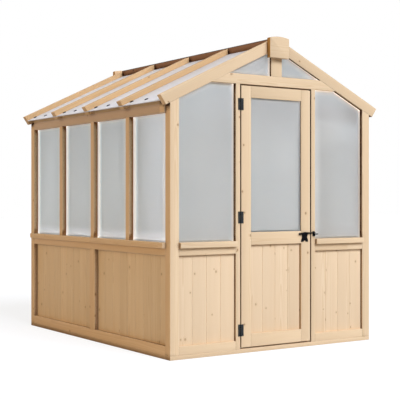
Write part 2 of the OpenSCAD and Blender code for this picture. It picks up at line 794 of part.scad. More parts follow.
// Keeper on the jamb: a plate, a stem that the dropped nose stops above, a post and a pointed rod
module latch_keeper() {
    plate_z = latch_z - 5 - keeper_h / 2;
    rod_z = keeper_top - keeper_r;
    color(black_metal) on_front() {
        translate([keeper_x - keeper_w / 2, -latch_plate_t, plate_z])
            cube([keeper_w, latch_plate_t, keeper_h]);
        translate([keeper_x, 0, stem_z]) rotate([90, 0, 0]) cylinder(h = -keeper_y, r = keeper_r);
        translate([keeper_x, keeper_y, stem_z]) sphere(keeper_r);
        translate([keeper_x, keeper_y, stem_z]) cylinder(h = keeper_top - stem_z, r = keeper_r);
        translate([keeper_x, keeper_y, rod_z]) rotate([0, 90, 0]) {
            cylinder(h = keeper_rod_l, r = keeper_r);
            translate([0, 0, keeper_rod_l])
                cylinder(h = keeper_tip_l, r1 = keeper_r, r2 = keeper_r / 3);
        }
    }
}

base_front();
base_back();
base_sides();
front_posts();
back_posts();
left_rails();
left_studs();
left_boards();
left_sills();
left_panes();
left_top_plate();
right_rails();
right_studs();
right_boards();
right_sills();
right_panes();
right_top_plate();
front_jambs();
front_rails();
front_boards();
front_sills();
front_panes();
front_collar();
front_king_post();
front_rakes();
front_gable_panes();
front_apex_block();
door_stops();
back_studs();
back_rails();
back_boards();
back_sill();
back_panes();
back_collar();
back_king_post();
back_rakes();
back_gable_panes();
back_apex_block();
ridge_board();
ridge_strip();
rafters();
sheet_ledgers();
eaves_blocks();
eaves_cleats();
roof_sheets();
rafter_caps();
roof_screws();
wall_beads();
hinge_jamb_leaves();
hinge_pins();
latch_keeper();
door_stiles();
door_rails();
door_boards();
door_pane();
door_beads();
hinge_door_leaves();
latch_plate();
latch_lever();
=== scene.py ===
# %% [markdown]
# # A small timber greenhouse
# This lesson dresses a imported model of a wooden greenhouse: a planed timber frame,
# tongue-and-groove boards below, frosted sheets above, a roof of opal sheets under timber caps, and
# a door with black hinges and a drop latch. The imported model already has every piece at its real
# size, in metres. Blender's part is the finish: eased edges, grain and knots, frosted sheets,
# screws and the light. The first cell loads the model.

# %% Load the imported model
import json
import math

import bmesh
import bpy
import numpy as np
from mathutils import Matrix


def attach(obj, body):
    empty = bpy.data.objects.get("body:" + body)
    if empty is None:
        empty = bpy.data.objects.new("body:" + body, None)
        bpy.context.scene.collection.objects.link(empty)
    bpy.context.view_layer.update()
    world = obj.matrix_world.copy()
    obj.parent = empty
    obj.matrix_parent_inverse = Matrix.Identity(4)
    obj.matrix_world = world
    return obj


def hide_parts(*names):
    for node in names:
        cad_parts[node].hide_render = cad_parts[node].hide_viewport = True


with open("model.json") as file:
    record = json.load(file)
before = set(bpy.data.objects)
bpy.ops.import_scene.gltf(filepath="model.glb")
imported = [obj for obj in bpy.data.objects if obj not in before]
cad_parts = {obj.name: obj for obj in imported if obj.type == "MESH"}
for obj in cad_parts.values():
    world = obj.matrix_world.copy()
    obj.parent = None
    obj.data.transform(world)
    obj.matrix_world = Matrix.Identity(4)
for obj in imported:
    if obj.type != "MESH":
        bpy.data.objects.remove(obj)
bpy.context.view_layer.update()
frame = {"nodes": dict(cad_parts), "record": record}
scene = bpy.context.scene
nodes = frame["nodes"]

# %% [markdown]
# ## Camera
# The photograph is a two-point perspective: upright edges stay upright, so the camera looks level
# and stands low, at about a metre. Its two vanishing points give the lens and the turn. A little
# vertical shift moves the horizon without tilting the camera. The camera could be found by eye
# instead, but then its error would be unknown.

# %% Camera
PHOTO_PIXELS, FOCAL_PIXELS = 400, 992.0
SENSOR = 36.0
CAMERA_PLACE = (-4.26098, -6.51721, 1.0515)
LOOK_ASIDE, LOOK_AHEAD = 0.5548, 0.832
LOOK_TURN = math.degrees(math.atan2(LOOK_ASIDE, LOOK_AHEAD))
HORIZON_SHIFT = -0.005
SIGHT_END = 200.0


def link(name, data):
    """A new object with its data, put into the scene."""
    made = bpy.data.objects.new(name, data)
    scene.collection.objects.link(made)
    return made


camera_data = bpy.data.cameras.new("photo_camera")
camera_data.sensor_width = SENSOR
camera_data.lens = FOCAL_PIXELS / PHOTO_PIXELS * SENSOR
camera_data.shift_y = HORIZON_SHIFT
camera_data.clip_end = SIGHT_END
camera = link("photo_camera", camera_data)
camera.location = CAMERA_PLACE
camera.rotation_euler = (math.radians(90), 0.0, math.radians(-LOOK_TURN))
scene.camera = camera
scene.view_settings.view_transform = "Standard"
print("lens", round(camera_data.lens, 2), "mm, turned", round(LOOK_TURN, 2), "degrees")

# %% [markdown]
# ## Small helpers for shader nodes
# A shader is easier to read when each line names the node, its settings and what feeds it. The
# first helpers add a node, do a sum, and mix, multiply or add colours. The next ones give what most
# finishes need: a smooth step, cloudy noise, the parts of a vector, and a bump.

# %% Helpers for nodes and colours
WHITE, BLACK = (1, 1, 1, 1), (0, 0, 0, 1)


def feed(tree, node, feeds):
    """Feeds a node: each named input gets another node's output, or its own number or colour."""
    for name, value in feeds.items():
        if isinstance(value, bpy.types.NodeSocket):
            tree.links.new(value, node.inputs[name])
        else:
            node.inputs[name].default_value = value


def add(tree, kind, feeds=None, **settings):
    """Adds a node, with its settings, and feeds it."""
    made = tree.nodes.new(kind)
    for name, value in settings.items():
        setattr(made, name, value)
    feed(tree, made, feeds or {})
    return made


def calc(tree, operation, *values, clamp=False):
    """One Math node on one, two or three values."""
    feeds = dict(enumerate(values))
    return add(tree, "ShaderNodeMath", feeds, operation=operation, use_clamp=clamp).outputs[0]


def blend(tree, factor, first, second, kind="MIX"):
    """Mixes two colours: the first at factor 0, the second (or their product or sum) at 1."""
    made = add(tree, "ShaderNodeMix", data_type="RGBA", blend_type=kind)
    feed(tree, made, {0: factor, 6: first, 7: second})
    return made.outputs[2]


def times(tree, first, second):
    """The product of two colours."""
    return blend(tree, 1.0, first, second, "MULTIPLY")


def plus(tree, first, second):
    """The sum of two colours."""
    return blend(tree, 1.0, first, second, "ADD")


def grey(tree, value):
    """A value as a colour, the same in red, green and blue."""
    feeds = {"Red": value, "Green": value, "Blue": value}
    return add(tree, "ShaderNodeCombineColor", feeds).outputs[0]


print("helpers for nodes and colours")


# %% Helpers for patterns
def ramp(tree, value, low, high, to_low=0.0, to_high=1.0):
    """A smooth step: to_low below low, to_high above high, an S curve between."""
    feeds = {"Value": value, "From Min": low, "From Max": high, "To Min": to_low, "To Max": to_high}
    made = add(tree, "ShaderNodeMapRange", feeds, interpolation_type="SMOOTHSTEP")
    return made.outputs["Result"]


def split(tree, vector):
    """The X, Y and Z of a vector, by name."""
    return add(tree, "ShaderNodeSeparateXYZ", {"Vector": vector}).outputs


def scaled(tree, vector, factors):
    """A vector times a factor in each direction."""
    made = add(tree, "ShaderNodeVectorMath", {0: vector, 1: factors}, operation="MULTIPLY")
    return made.outputs[0]


def distances(tree, label):
    """The two numbers that a UV map of that name holds, as X and Y."""
    return split(tree, add(tree, "ShaderNodeUVMap", uv_map=label).outputs[0])


def noise(tree, place, scale, detail, roughness=0.5):
    """Cloudy noise, mostly from 0.3 to 0.7, with about scale lumps to each unit of place."""
    feeds = {"Vector": place, "Scale": scale, "Detail": detail, "Roughness": roughness}
    return add(tree, "ShaderNodeTexNoise", feeds).outputs[0]


def relief(tree, shader, height, strength, depth):
    """Feeds a shader's normal from a height, through a bump of a strength and a depth in metres."""
    feeds = {"Height": height, "Strength": strength, "Distance": depth}
    feed(tree, shader, {"Normal": add(tree, "ShaderNodeBump", feeds).outputs["Normal"]})


print("helpers for patterns")


# %% Helpers for groups and materials
def group(name, inputs, outputs):
    """A shader node group: inputs gives each input's default, and outputs each output's kind. It
    returns the tree, what the group is given, and the node that takes what it gives."""
    tree = bpy.data.node_groups.new(name, "ShaderNodeTree")
    for label, default in inputs.items():
        kind = "NodeSocketColor" if isinstance(default, tuple) else "NodeSocketFloat"
        socket = tree.interface.new_socket(label, in_out="INPUT", socket_type=kind)
        socket.default_value = default
    for label, kind in outputs.items():
        tree.interface.new_socket(label, in_out="OUTPUT", socket_type="NodeSocket" + kind)
    given = tree.nodes.new("NodeGroupInput").outputs
    return tree, given, tree.nodes.new("NodeGroupOutput")


def surface(name):
    """A new material with an empty Principled BSDF, and its tree and shader."""
    made = bpy.data.materials.new(name)
    made.use_nodes = True
    return made, made.node_tree, made.node_tree.nodes["Principled BSDF"]


print("helpers for groups and materials")

# %% [markdown]
# ## Light, floor and backdrop
# The photograph is lit from the front, a little to the right and above, by a slightly cool light.
# The side wall lies in a dim, warm light from behind, and its rebates are almost dark. Two broad
# suns give the light, and painted shade in the timber darkens the rebates. The world gives a low
# even light, but shows white to the camera and in reflections, so the background is white without
# more light on the wood. The floor does the same: it is mid grey to the light that it sends back,
# pale to the eye, and keeps the object's shadow.

# %% Light
# Name, strength, colour, degrees to the right of the door, degrees up, and breadth in degrees
SUNS = (
    ("front_light", 3.74, (0.80, 0.865, 1.03), 8.0, 40.0, 34.0),
    ("side_light", 0.97, (1.0, 0.70, 0.35), -108.0, 16.0, 40.0))


def broad_sun(name, strength, colour, right, up, breadth):
    """A sun that shines from an angle to the right of the door and an angle above the ground."""
    data = bpy.data.lights.new(name, "SUN")
    data.energy = strength
    data.color = colour
    data.angle = math.radians(breadth)
    link(name, data).rotation_euler = (math.radians(90 - up), 0.0, math.radians(right))
    print(name, strength, "from", right, "degrees right,", up, "up")


for sun in SUNS:
    broad_sun(*sun)

# %% World
WORLD_LEVEL = 0.22


def shown(tree):
    """1 for what the camera sees directly, by reflection or through glass, and 0 for light that
    falls on things."""
    path = add(tree, "ShaderNodeLightPath").outputs
    either = calc(tree, "MAXIMUM", path["Is Camera Ray"], path["Is Glossy Ray"])
    return calc(tree, "MAXIMUM", either, path["Is Transmission Ray"])


world = bpy.data.worlds.new("studio")
scene.world = world
world.use_nodes = True
tree = world.node_tree
tree.nodes.clear()
strength = calc(tree, "MULTIPLY_ADD", shown(tree), 1.0 - WORLD_LEVEL, WORLD_LEVEL)
backdrop = add(tree, "ShaderNodeBackground", {"Color": WHITE, "Strength": strength})
add(tree, "ShaderNodeOutputWorld", {"Surface": backdrop.outputs[0]})
print("world", WORLD_LEVEL, "to the light, 1 to the eye")

# %% Floor
FLOOR_HALF = 40.0
FLOOR_GREY, FLOOR_SHOWN, FLOOR_GLOW = 0.45, 0.24, 0.82
FLOOR_ROUGHNESS = 0.9
floor_mesh = bpy.data.meshes.new("floor")
corners = np.array([[-1, -1, 0], [1, -1, 0], [1, 1, 0], [-1, 1, 0]], float) * FLOOR_HALF
floor_mesh.from_pydata(corners.tolist(), [], [(0, 1, 2, 3)])
floor = link("floor", floor_mesh)
floor_finish, tree, shader = surface("pale_floor")
seen = shown(tree)
feed(tree, shader, {
    "Base Color": blend(tree, seen, (FLOOR_GREY,) * 3 + (1,), (FLOOR_SHOWN,) * 3 + (1,)),
    "Roughness": FLOOR_ROUGHNESS, "Specular IOR Level": 0.0,
    "Emission Color": WHITE, "Emission Strength": calc(tree, "MULTIPLY", seen, FLOOR_GLOW)})
floor_mesh.materials.append(floor_finish)
print("floor", FLOOR_GREY, "to the light,", FLOOR_GLOW + FLOOR_SHOWN, "to the eye")

# %% [markdown]
# ## Timber: a pattern in the piece's own directions
# Sawn softwood shows growth rings that were cut lengthwise: long lines on the faces, arcs on the
# ends, bent round small knots. An image could be wrapped round each piece, but its ends would be
# wrong. Here each piece carries its own frame: how far along the grain a point is, and how far it
# is from the heart of the log. The rings are then just the distance from the heart, and faces and
# ends agree. One node group turns that into colour, roughness and height, and every wood finish
# places it with its own values. It is built over the next few cells.

# %% Timber group: what it takes and gives
PLAIN_WOOD = {
    "Early Wood": (0.79, 0.575, 0.343, 1), "Late Wood": (0.67, 0.44, 0.226, 1),
    "Knot": (0.42, 0.24, 0.12, 1), "Ring Gap": 0.0042, "Contrast": 0.42, "Knot Share": 0.15,
    "Tone Spread": 0.06, "Base Roughness": 0.58, "Rebate Depth": 1.0, "Side Tone": WHITE,
    "Bevel Tone": WHITE}
timber, given, gives = group(
    "timber_grain", PLAIN_WOOD, {"Color": "Color", "Roughness": "Float", "Height": "Float"})
own = add(timber, "ShaderNodeAttribute", attribute_name="heart").outputs["Vector"]
flat = add(timber, "ShaderNodeUVMap", uv_map="face").outputs[0]
number = add(timber, "ShaderNodeAttribute", attribute_name="number").outputs["Fac"]
axis = split(timber, own)
print("timber group:", len(given) - 1, "values in")

# %% [markdown]
# ## Knots
# Knots are small dark rounds, scattered over the faces at random. Voronoi cells scatter one point
# in each cell of the face's own map, with random numbers for its size and for whether the knot is
# there at all. A dark core ends sharply, and a wider halo bends and warms the wood round it.

# %% Knots
KNOT_CELL = (0.15, 0.075)
KNOT_STRETCH = 0.8
KNOT_LEAST, KNOT_MORE = 0.0035, 0.0045
CORE_EDGE, HALO_EDGE = (1.15, 0.75), (3.2, 0.8)
cells = scaled(timber, flat, (1 / KNOT_CELL[0], 1 / KNOT_CELL[1], 1))
scatter = add(timber, "ShaderNodeTexVoronoi", {"Vector": cells, "Scale": 1.0, "Randomness": 1.0},
              voronoi_dimensions="2D").outputs
away = add(timber, "ShaderNodeVectorMath", {0: cells, 1: scatter["Position"]}, operation="SUBTRACT")
away = scaled(timber, away.outputs[0], (KNOT_CELL[0] * KNOT_STRETCH, KNOT_CELL[1], 0))
distance = add(timber, "ShaderNodeVectorMath", {0: away}, operation="LENGTH").outputs["Value"]
chance = add(timber, "ShaderNodeSeparateColor", {"Color": scatter["Color"]}).outputs
radius = calc(timber, "MULTIPLY_ADD", chance["Green"], KNOT_MORE, KNOT_LEAST)
present = calc(timber, "LESS_THAN", chance["Red"], given["Knot Share"])
nearness = calc(timber, "DIVIDE", distance, radius)
core = calc(timber, "MULTIPLY", ramp(timber, nearness, *CORE_EDGE), present)
halo = calc(timber, "MULTIPLY", ramp(timber, nearness, *HALO_EDGE), present)
print("knots of", KNOT_LEAST * 1000, "to", (KNOT_LEAST + KNOT_MORE) * 1000, "mm radius")

# %% [markdown]
# ## Growth rings
# A ring is the part of the distance from the heart that is left over after whole ring gaps. That
# distance wanders slowly along the piece and bulges at each knot. Late wood darkens slowly over
# the ring, and ends sharply where the next spring begins.

# %% Growth rings
WANDER_REPEATS = (0.9, 9.0, 9.0)
RING_WANDER, KNOT_BULGE = 0.035, 0.006
LATE_RISE, LATE_FALL = (0.25, 0.9), (1.0, 0.93)
wander = noise(timber, scaled(timber, own, WANDER_REPEATS), 1.0, 2.0)
squares = [calc(timber, "MULTIPLY", axis[name], axis[name]) for name in ("Y", "Z")]
heart = calc(timber, "SQRT", calc(timber, "ADD", *squares))
heart = calc(timber, "MULTIPLY_ADD", wander, RING_WANDER, heart)
heart = calc(timber, "MULTIPLY_ADD", halo, KNOT_BULGE, heart)
turn = calc(timber, "FRACT", calc(timber, "DIVIDE", heart, given["Ring Gap"]))
late = calc(timber, "MULTIPLY", ramp(timber, turn, *LATE_RISE), ramp(timber, turn, *LATE_FALL))
print("growth rings wander by up to", RING_WANDER * 1000, "mm")

# %% [markdown]
# ## Fibres, tone and worn arrises
# Fine fibres run along the piece, and its tone changes slowly from place to place. Both are noise
# that is stretched along the grain. Each piece is a little lighter or darker than the next, and
# the arrises, the long edges, are a little worn and paler.

# %% Fibres, tone and arrises
FIBRE_REPEATS, CLOUD_REPEATS = (7.0, 420.0, 420.0), (1.6, 26.0, 26.0)
FIBRE_SHARE, CLOUD_SHARE, CLOUD_MIDDLE = 0.30, 0.45, 0.45
HALO_WARMTH, KNOT_COVER = 0.30, 0.9
WORN_REACH, WORN_FIBRES, WORN_SHARE = (0.0035, 0.0005), (0.42, 0.60), 0.25
WORN_WOOD = (0.86, 0.72, 0.52, 1)
fibre = noise(timber, scaled(timber, own, FIBRE_REPEATS), 1.0, 3.0, 0.6)
cloud = noise(timber, scaled(timber, own, CLOUD_REPEATS), 1.0, 2.0)
amount = calc(timber, "MULTIPLY", late, given["Contrast"])
amount = calc(timber, "MULTIPLY_ADD", calc(timber, "SUBTRACT", fibre, 0.5), FIBRE_SHARE, amount)
lighter = calc(timber, "SUBTRACT", cloud, CLOUD_MIDDLE)
amount = calc(timber, "MULTIPLY_ADD", lighter, CLOUD_SHARE, amount, clamp=True)
colour = blend(timber, amount, given["Early Wood"], given["Late Wood"])
colour = blend(timber, calc(timber, "MULTIPLY", halo, HALO_WARMTH), colour, given["Late Wood"])
colour = blend(timber, calc(timber, "MULTIPLY", core, KNOT_COVER), colour, given["Knot"])
tone = calc(timber, "SUBTRACT", number, 0.5)
tone = calc(timber, "MULTIPLY_ADD", tone, given["Tone Spread"], 1.0)
colour = times(timber, colour, grey(timber, tone))
rim = distances(timber, "rim")
edge = ramp(timber, calc(timber, "MINIMUM", rim["X"], rim["Y"]), *WORN_REACH)
worn = calc(timber, "MULTIPLY", edge, ramp(timber, fibre, *WORN_FIBRES))
colour = blend(timber, calc(timber, "MULTIPLY", worn, WORN_SHARE), colour, WORN_WOOD)
print("timber group:", len(timber.nodes), "nodes so far")

# %% [markdown]
# ## Painted light on bevels, painted shade on sides
# The bevels between the boards are a little paler: painted light that lifts the shade in the
# grooves. Their normals look halfway across, which tells them from the faces. Faces that look right
# across the greenhouse get painted shade, a little darker, and the slanted undersides of the rakes
# count among them.

# %% Bevels and sides
BEVEL_FROM, BEVEL_TO = (0.45, 0.60), (0.92, 0.80)
DOWN_SHARE, ACROSS_EDGE = -0.5, (0.6, 0.88)
spot_here = add(timber, "ShaderNodeTexCoord").outputs
facing = split(timber, spot_here["Normal"])
aside = calc(timber, "ABSOLUTE", facing["X"])
aslant = calc(timber, "MULTIPLY", ramp(timber, aside, *BEVEL_FROM), ramp(timber, aside, *BEVEL_TO))
# Painted light: the bevels are lightened, which lifts the shade in the grooves
colour = blend(timber, aslant, colour, times(timber, colour, given["Bevel Tone"]))
down = calc(timber, "MAXIMUM", calc(timber, "MULTIPLY", facing["Z"], DOWN_SHARE), 0.0)
across = ramp(timber, calc(timber, "ADD", aside, down), *ACROSS_EDGE)
# Painted shade: faces that look across, and the rakes' undersides, are darkened and warmed
colour = blend(timber, across, colour, times(timber, colour, given["Side Tone"]))
print("timber group:", len(timber.nodes), "nodes so far")

# %% [markdown]
# ## Painted shade in rebates
# Rebates and inner corners get painted shade: their colour is darkened where shade falls, less so
# beside the boarded panels. An Ambient Occlusion node finds them: it gives the share of the near
# surroundings that is open. The attribute shade says how strongly that painted shade works on a
# node, from 0 to 1: first for the faces that look along the greenhouse, then for those that look
# across it.

# %% Rebates
CORNER_REACH = 0.05
MILD_EDGE, STEEP_EDGE = (0.90, 0.62), (0.94, 0.66)
BOARDED_TOP, BOARDED_SHARE = (0.74, 0.80), 0.66
PAINTED_SHADE_ALONG, PAINTED_SHADE_ACROSS = (0.24, 0.125, 0.05, 1), (0.08, 0.036, 0.010, 1)
share = split(timber, add(timber, "ShaderNodeAttribute", attribute_name="shade").outputs["Vector"])
corner = add(timber, "ShaderNodeAmbientOcclusion", {"Distance": CORNER_REACH}, samples=6,
             only_local=False).outputs["AO"]
mild, steep = (calc(timber, "MULTIPLY", ramp(timber, corner, *step), share[name])
               for step, name in ((MILD_EDGE, "X"), (STEEP_EDGE, "Y")))
painted_shade = calc(timber, "MULTIPLY_ADD", across, calc(timber, "SUBTRACT", steep, mild), mild)
above = split(timber, spot_here["Object"])["Z"]
painted_shade = calc(timber, "MULTIPLY", painted_shade, ramp(timber, above, *BOARDED_TOP, BOARDED_SHARE, 1.0))
painted_shade = calc(timber, "MULTIPLY", painted_shade, given["Rebate Depth"])
# Painted shade: corners and rebates are darkened towards brown, most on faces that look across
shade_tint = blend(timber, across, PAINTED_SHADE_ALONG, PAINTED_SHADE_ACROSS)
colour = blend(timber, painted_shade, colour, times(timber, colour, shade_tint))
print("rebates darken within", CORNER_REACH * 1000, "mm of a corner")

# %% Timber group: roughness, height and ends
LATE_SMOOTHER, KNOT_SMOOTHER, REBATE_ROUGHER = -0.08, -0.12, 0.30
LATE_HEIGHT, FIBRE_HEIGHT, KNOT_HEIGHT = 0.5, 0.6, 0.5
rough = calc(timber, "MULTIPLY_ADD", late, LATE_SMOOTHER, given["Base Roughness"])
rough = calc(timber, "MULTIPLY_ADD", painted_shade, REBATE_ROUGHER, rough)
rough = calc(timber, "MULTIPLY_ADD", core, KNOT_SMOOTHER, rough)
height = calc(timber, "MULTIPLY", fibre, FIBRE_HEIGHT)
height = calc(timber, "MULTIPLY_ADD", late, LATE_HEIGHT, height)
height = calc(timber, "MULTIPLY_ADD", core, KNOT_HEIGHT, height)
feed(timber, gives, {"Color": colour, "Roughness": rough, "Height": height})
print("timber group:", len(timber.nodes), "nodes")

# %% [markdown]
# ## Wood finishes
# The frame, the boards and the roof timbers are the same pale oiled softwood in slightly different
# tones. The top plates under the eaves are browner, which is painted shade of the eaves, the sides
# of the apex blocks carry the darkest painted side shade, and the ridge board is dark brown. Each
# is one Principled shader fed by the group, and the table says only how it differs from the plain
# wood. The bump is a fraction of a millimetre deep, which only shows from close by.

# %% Wood finishes
GRAIN_STRENGTH, GRAIN_DEPTH = 0.5, 0.00015
OILED_GLOSS, RIDGE_GLOSS = 0.14, 0.08
WOODS = {
    # The side tone is painted shade on the faces that look across
    "frame_timber": {"Side Tone": (0.965, 0.885, 0.80, 1)},
    # Painted shade of the eaves: the top plates are darker and browner
    "plate_timber": {
        "Early Wood": (0.72, 0.50, 0.31, 1), "Late Wood": (0.58, 0.37, 0.21, 1),
        "Knot": (0.38, 0.22, 0.12, 1), "Contrast": 0.55, "Knot Share": 0.12, "Rebate Depth": 0.35,
        "Side Tone": (0.865, 0.865, 0.885, 1)},
    "boarding": {
        "Early Wood": (0.80, 0.588, 0.360, 1), "Late Wood": (0.68, 0.453, 0.248, 1),
        "Knot": (0.50, 0.32, 0.17, 1), "Ring Gap": 0.0050, "Knot Share": 0.26, "Tone Spread": 0.07,
        "Rebate Depth": 0.20, "Side Tone": (1.0, 0.99, 0.95, 1),
        # The bevel tone is painted light in the grooves between the boards
        "Bevel Tone": (1.09, 1.11, 1.13, 1)},
    "roof_timber": {
        "Early Wood": (0.64, 0.405, 0.197, 1), "Late Wood": (0.50, 0.285, 0.113, 1),
        "Knot": (0.30, 0.15, 0.06, 1), "Knot Share": 0.14, "Rebate Depth": 0.0},
    "ridge_timber": {
        "Early Wood": (0.33, 0.175, 0.10, 1), "Late Wood": (0.22, 0.105, 0.05, 1),
        "Knot": (0.06, 0.02, 0.01, 1), "Ring Gap": 0.0040, "Contrast": 0.60, "Knot Share": 0.12,
        "Tone Spread": 0.05, "Base Roughness": 0.70},
    # Painted shade: the sides of the apex blocks are darkened far more than the frame's
    "block_timber": {"Rebate Depth": 0.25, "Side Tone": (0.60, 0.42, 0.19, 1)}}


def wood(name, changes):
    """A wood finish: the timber group with the plain wood's values, some of them changed."""
    made, tree, shader = surface(name)
    grain = add(tree, "ShaderNodeGroup", {**PLAIN_WOOD, **changes}, node_tree=timber).outputs
    gloss = RIDGE_GLOSS if name == "ridge_timber" else OILED_GLOSS
    feed(tree, shader, {"Base Color": grain["Color"], "Roughness": grain["Roughness"],
                        "Specular IOR Level": gloss})
    relief(tree, shader, grain["Height"], GRAIN_STRENGTH, GRAIN_DEPTH)
    return made


woods = {name: wood(name, changes) for name, changes in WOODS.items()}
print(len(woods), "wood finishes")

# %% [markdown]
# ## Giving each piece of timber its own grain
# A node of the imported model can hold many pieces: eighteen boards, say, or both rakes. Its mesh is
# loose triangles, so a copy is welded and its flat faces are joined up again. Pieces are then told
# apart by following edges, the longest edge of each gives the way of its grain, and the rest is
# arithmetic on whole arrays.

# %% Welded copies
WELD_REACH, FLAT_ANGLE = 1e-5, math.radians(0.5)


def welded(node_name, name):
    """A copy of a node's mesh with its doubles merged and its flat faces joined up."""
    work = bmesh.new()
    work.from_mesh(nodes[node_name].data)
    bmesh.ops.remove_doubles(work, verts=work.verts, dist=WELD_REACH)
    bmesh.ops.dissolve_limit(work, angle_limit=FLAT_ANGLE, verts=work.verts, edges=work.edges)
    mesh = bpy.data.meshes.new(name)
    work.to_mesh(mesh)
    work.free()
    return mesh


print("welding within", WELD_REACH * 1000, "mm")


# %% Meshes as arrays
def read(collection, field, width, kind=float):
    """One field of a mesh collection as an array with a row for each element."""
    values = np.zeros(len(collection) * width, np.float32 if kind is float else np.int32)
    collection.foreach_get(field, values)
    return values.reshape(-1, width) if width > 1 else values


def mark(mesh, label, values):
    """Keeps an array on a mesh as an attribute: a number or a vector for each point."""
    kind, field = ("FLOAT", "value") if values.ndim == 1 else ("FLOAT_VECTOR", "vector")
    made = mesh.attributes.new(label, kind, "POINT")
    made.data.foreach_set(field, values.astype(np.float32).ravel())


def unfold(mesh, label, first, second):
    """Keeps two arrays on a mesh as a UV map: two numbers for each corner of each face."""
    values = np.stack([first, second], 1).astype(np.float32)
    mesh.uv_layers.new(name=label).data.foreach_set("uv", values.ravel())


def piece_numbers(edges, count):
    """Number of the separate piece that each point is in: the lowest point number of its piece,
    which spreads along the edges until nothing changes, counted up without gaps."""
    label = np.arange(count)
    while True:
        low = np.minimum(label[edges[:, 0]], label[edges[:, 1]])
        spread = label.copy()
        np.minimum.at(spread, edges[:, 0], low)
        np.minimum.at(spread, edges[:, 1], low)
        if (spread == label).all():
            return np.unique(label, return_inverse=True)[1]
        label = spread


def parts_of(mesh):
    """A mesh's points, its edges, and the number of the separate piece that each point is in."""
    points = read(mesh.vertices, "co", 3).astype(float)
    edges = read(mesh.edges, "vertices", 2, int)
    return points, edges, piece_numbers(edges, len(points))


print("helpers for meshes")

# %% [markdown]
# ## The frame of each piece
# A board was cut from somewhere in a log, so its heart line lies a few centimetres outside it, at
# a random distance and angle. Random numbers start from a fixed seed, so the grain is the same on
# each run. Two maps go on the faces: one for the knots, and one with the distance to the arrises.

# %% Directions and heart
NEAR_AXIS = 0.7
HEART_REACH = (0.03, 0.10)
LOG_LENGTH = 40
rng = np.random.default_rng(41)


def unit(vectors):
    """Each vector divided by its length."""
    return vectors / np.linalg.norm(vectors, axis=1)[:, None]


def sideways(axes):
    """A unit vector square to each axis: the axis crossed with X, or with Y if it lies near X."""
    helper = np.where(np.abs(axes[:, :1]) < NEAR_AXIS, [[1.0, 0, 0]], [[0, 1.0, 0]])
    return unit(np.cross(axes, helper))


def grain_axes(points, edges, piece):
    """Three unit vectors for each piece: along its longest edge, turned so that its largest part
    is positive, one square to that, and one square to both."""
    count = piece.max() + 1
    span = points[edges[:, 1]] - points[edges[:, 0]]
    order = np.argsort(np.linalg.norm(span, axis=1))
    along = np.zeros((count, 3))
    along[piece[edges[order, 0]]] = span[order]
    along = unit(along)
    along *= np.sign(along[np.arange(count), np.abs(along).argmax(1)])[:, None]
    side = sideways(along)
    return along, side, np.cross(along, side)


def add_heart(mesh, points, piece, axes):
    """Adds heart, which is (along, across, deep) from the heart line: the point less the middle of
    its piece, times the three axes, plus a random shift. Adds number, from 0 to 1 by piece."""
    count = piece.max() + 1
    members = np.bincount(piece)
    middle = np.stack([np.bincount(piece, points[:, i]) / members for i in range(3)], 1)
    angle = rng.uniform(0, 2 * np.pi, count)
    reach = rng.uniform(*HEART_REACH, count)
    start = rng.uniform(0, LOG_LENGTH, count)
    offset = np.stack([start, reach * np.cos(angle), reach * np.sin(angle)], 1)
    frames = np.stack(axes, 1)
    heart = np.einsum("nij,nj->ni", frames[piece], points - middle[piece]) + offset[piece]
    mark(mesh, "heart", heart)
    mark(mesh, "number", rng.uniform(0, 1, count)[piece])


print("heart lines", HEART_REACH, "metres outside the pieces")

# %% Maps on the faces
END_FACE = 0.6
FACE_ROOM = 50


def add_face_maps(mesh, points, piece, along, side):
    """Adds face, which is (along, across) in the plane of each face with a random shift, and rim,
    the distances from the face's two long arrises. Both are linear, so they hold over the whole
    face. On an end, whose normal lies along the grain, side takes the place of along."""
    normals = read(mesh.polygons, "normal", 3).astype(float)
    total = read(mesh.polygons, "loop_total", 1, int)
    starts = read(mesh.polygons, "loop_start", 1, int)
    corner = read(mesh.loops, "vertex_index", 1, int)
    face = np.repeat(np.arange(len(total)), total)
    face_piece = piece[corner[starts]]
    u_axis = along[face_piece]
    ends = np.abs(np.einsum("ni,ni->n", normals, u_axis)) > END_FACE
    u_axis[ends] = side[face_piece[ends]]
    v_axis = unit(np.cross(normals, u_axis))
    u, v = (np.einsum("ni,ni->n", points[corner], way[face]) for way in (u_axis, v_axis))
    shift = rng.uniform(0, FACE_ROOM, (len(total), 2))[face]
    unfold(mesh, "face", u + shift[:, 0], v + shift[:, 1])
    unfold(mesh, "rim", v - np.minimum.reduceat(v, starts)[face],
           np.maximum.reduceat(v, starts)[face] - v)


def grain_frames(mesh):
    """Adds to a mesh what the timber group reads, and returns the number of separate pieces."""
    points, edges, piece = parts_of(mesh)
    along, side, deep = grain_axes(points, edges, piece)
    add_heart(mesh, points, piece, (along, side, deep))
    add_face_maps(mesh, points, piece, along, side)
    return piece.max() + 1


print("face maps ready")

# %% [markdown]
# ## Dressing a node
# A dressed piece is the welded copy with its grain, its finish and its eased edges. A live Bevel
# modifier eases the arrises, as sandpaper would, and hardened normals keep the faces flat. The
# piece then rides where its node rides and takes its place.

# %% Dressing a node
EASE_ANGLE = math.radians(28)
# How much painted shade darkens the inner corners, by words in the nodes' names: first for faces
# that look along the greenhouse, then for faces that look across it. The first word that fits counts
SHADE = (
    ("front_sills", (0.0, 0.85)), ("front_rails", (0.05, 1.0)), ("_sills", (0.05, 0.2)),
    ("left_", (1.0, 0.15)), ("right_", (1.0, 0.15)), ("posts", (1.0, 1.0)),
    ("door_stiles", (0.2, 0.45)), ("boards", (0.1, 0.1)))
OTHER_SHADE = (0.2, 1.0)
slot_of = {part["node"]: part["material_slot"] for part in frame["record"]["subparts"]}
body_of = {name: body for body, names in frame["record"]["behaviour"]["bodies"].items()
           for name in names}


def finished(name, mesh, finish):
    """An object for a finished mesh: its finish is on, and it is shaded smooth."""
    mesh.materials.append(finish)
    mesh.polygons.foreach_set("use_smooth", np.ones(len(mesh.polygons), bool))
    return link(name, mesh)


